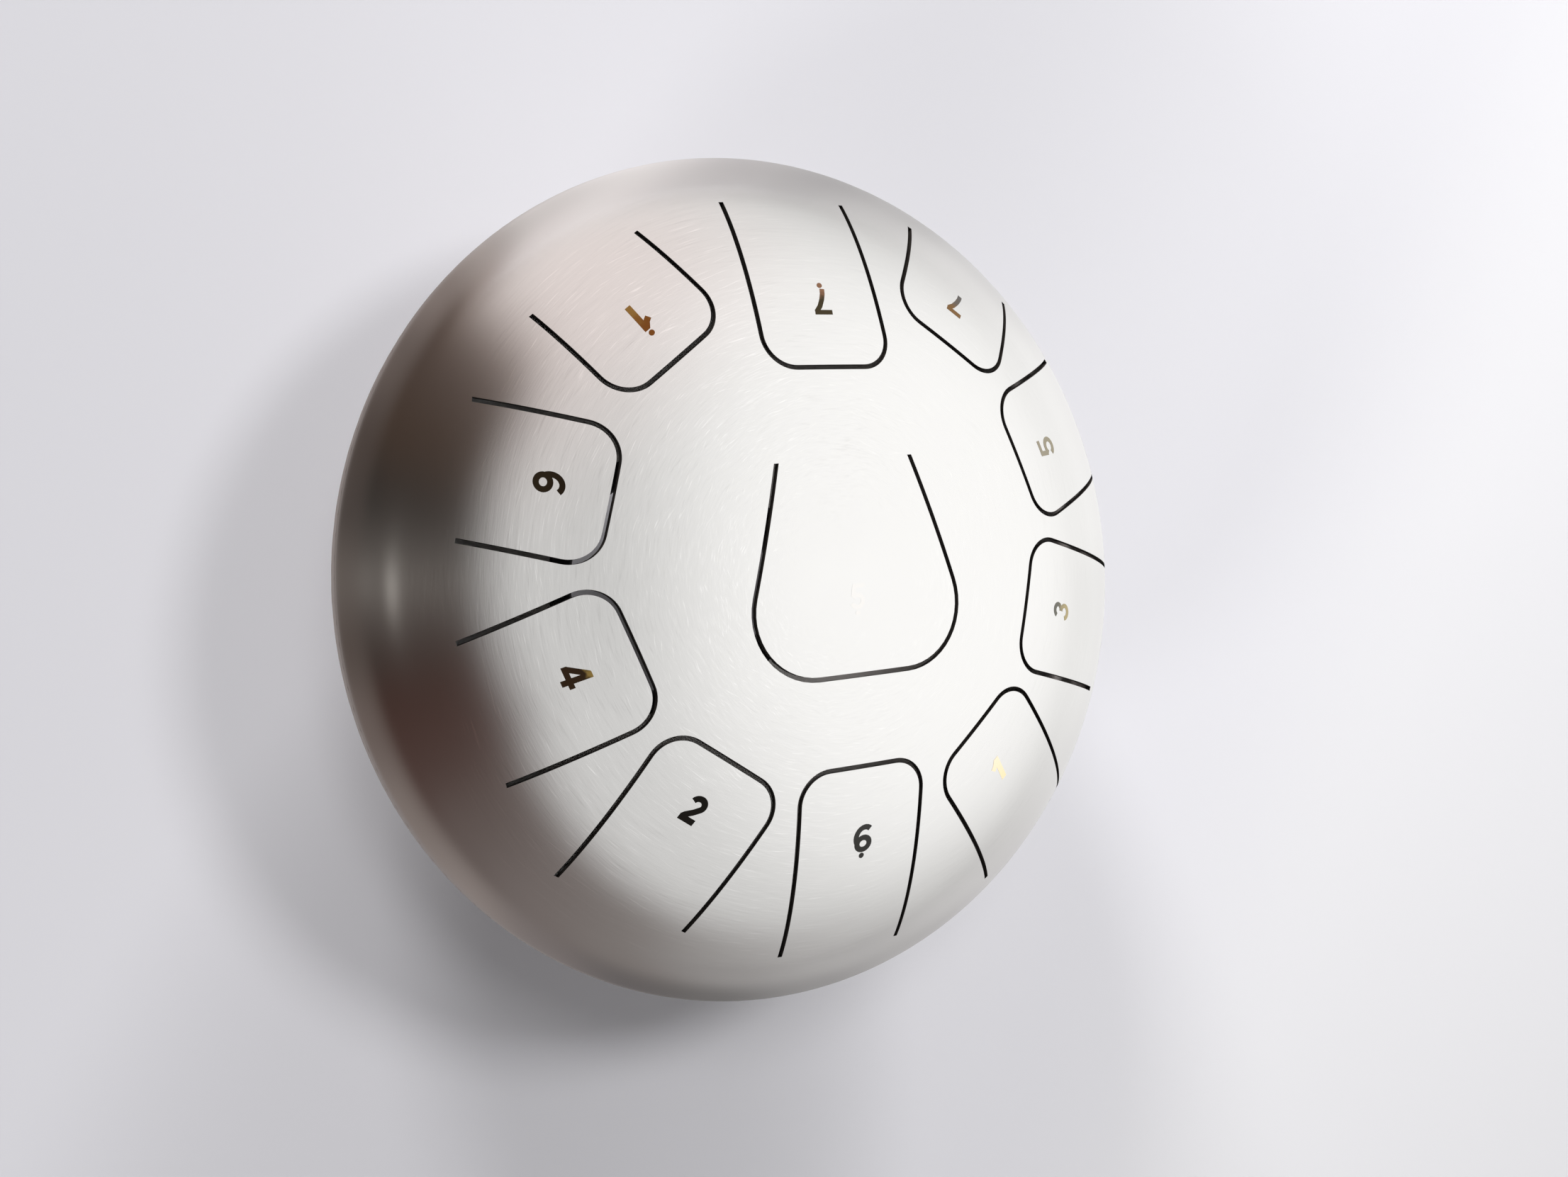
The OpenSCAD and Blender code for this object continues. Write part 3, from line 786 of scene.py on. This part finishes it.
def makeDarkSide(s):
    mesh = bmesh.new()
    bmesh.ops.create_uvsphere(mesh, u_segments=64, v_segments=32, radius=s["radius"])
    bmesh.ops.bisect_plane(mesh, geom=mesh.verts[:] + mesh.edges[:] + mesh.faces[:],
                           plane_co=(0, 0, s["lift"]), plane_no=(0, 0, 1), clear_inner=True)
    bmesh.ops.holes_fill(mesh, edges=mesh.edges[:])
    material, tree = newMaterial("dark_side_of_the_room")
    coordinates = addNode(tree, "TexCoord").outputs["Object"]
    x, y, z = addNode(tree, "SeparateXYZ", {"Vector": coordinates}).outputs
    flat = addNode(tree, "CombineXYZ", {"X": x, "Y": y})
    distance = addNode(tree, "VectorMath", {0: flat}, operation="LENGTH").outputs["Value"]
    height = addNode(tree, "Math", {0: z, 1: distance}, operation="ARCTAN2")
    height = addNode(tree, "Math", {0: height}, operation="DEGREES")
    # The bearing as a share of a full turn, with its seam at bearing 0
    bearing = addNode(tree, "Math", {0: x, 1: -1}, operation="MULTIPLY")
    bearing = addNode(tree, "Math", {0: y, 1: bearing}, operation="ARCTAN2")
    bearing = addNode(tree, "MapRange",
                      {"Value": bearing, "From Min": -math.pi, "From Max": math.pi,
                       "To Min": 1, "To Max": 0})
    ramps = {key: addNode(tree, "ValToRGB", {"Fac": bearing},
                          [(place / 360, color) for place, color in s[key]])
             for key in ("ring", "nearRing", "under", "top", "sides", "floorSides")}
    color = ramps["ring"].outputs["Color"]
    # The floor nearby and beside the feet carry a painted shadow of the drum
    for key, near, far in (("nearRing", s["nearFrom"], s["nearTo"]),
                           ("under", s["underFrom"], s["underTo"])):
        share = addNode(tree, "MapRange", {"Value": distance, "From Min": far, "From Max": near},
                        interpolation_type="SMOOTHSTEP")
        color = addNode(tree, "Mix", {0: share, 6: color, 7: ramps[key]}, data_type="RGBA").outputs[2]
    # A small bright spot straight across from the window
    direction = addNode(tree, "VectorMath", {0: coordinates}, operation="NORMALIZE")
    share = lobeShare(tree, direction, s["lobe"])
    color = addNode(tree, "Mix", {0: share, 6: color, 7: linear(s["lobe"]["color"])},
                    data_type="RGBA").outputs[2]
    # Where the card is clear, the steel mirrors the world
    top = addNode(tree, "Math", {0: ramps["top"], 1: 90}, operation="MULTIPLY")
    over = addNode(tree, "Math", {0: height, 1: top}, operation="SUBTRACT")
    cover = addNode(tree, "MapRange", {"Value": over, "From Min": s["fade"], "From Max": -s["fade"]},
                    interpolation_type="SMOOTHSTEP")
    low = addNode(tree, "MapRange",
                  {"Value": height, "From Min": s["floorFade"][0], "From Max": s["floorFade"][1]},
                  interpolation_type="SMOOTHSTEP")
    low = addNode(tree, "Math", {0: ramps["floorSides"], 1: low}, operation="MULTIPLY")
    sides = addNode(tree, "Math", {0: ramps["sides"], 1: low}, operation="MAXIMUM")
    cover = addNode(tree, "Math", {0: cover, 1: sides}, operation="MULTIPLY")
    glow = addNode(tree, "Emission", {"Color": color, "Strength": s["strength"]})
    clear = addNode(tree, "BsdfTransparent")
    surface = addNode(tree, "MixShader", {0: cover, 1: clear, 2: glow})
    addNode(tree, "OutputMaterial", {"Surface": surface})
    side = finishObject(mesh, "dark_side", [material])
    # Mirror reflections alone see it, so that it takes no light from the drum or the floor
    side.visible_camera = False
    side.visible_diffuse = False
    side.visible_shadow = False


makeDarkSide(darkSideSettings)

# Soft round lamps, aimed at the middle of the floor. Power is in watts
lampSettings = dict(
    key_softbox=dict(bearing=40, height=66, distance=1.6, size=0.4, power=7.1),
    top_softbox=dict(bearing=128, height=66, distance=1.6, size=0.4, power=3.1),
    back_softbox=dict(bearing=110, height=22, distance=1.6, size=0.4, power=13.5),
    window_light=dict(bearing=72, height=12, distance=2.6, size=0.65, power=60),
    side_softbox=dict(bearing=210, height=22, distance=1.6, size=0.4, power=6.6))


def makeLamp(name, s):
    data = bpy.data.lights.new(name, "AREA")
    data.shape = "DISK"
    data.size = s["size"]
    data.energy = s["power"]
    lamp = bpy.data.objects.new(name, data)
    bpy.context.scene.collection.objects.link(lamp)
    toward = directionTo(s["bearing"], s["height"])
    lamp.location = toward * s["distance"]
    lamp.rotation_euler = (-toward).to_track_quat("-Z", "Y").to_euler()
    lamp.visible_glossy = False  # the steel mirrors the painted surroundings, not the lamps


for name, settings in lampSettings.items():
    makeLamp(name, settings)
print("stage ready")
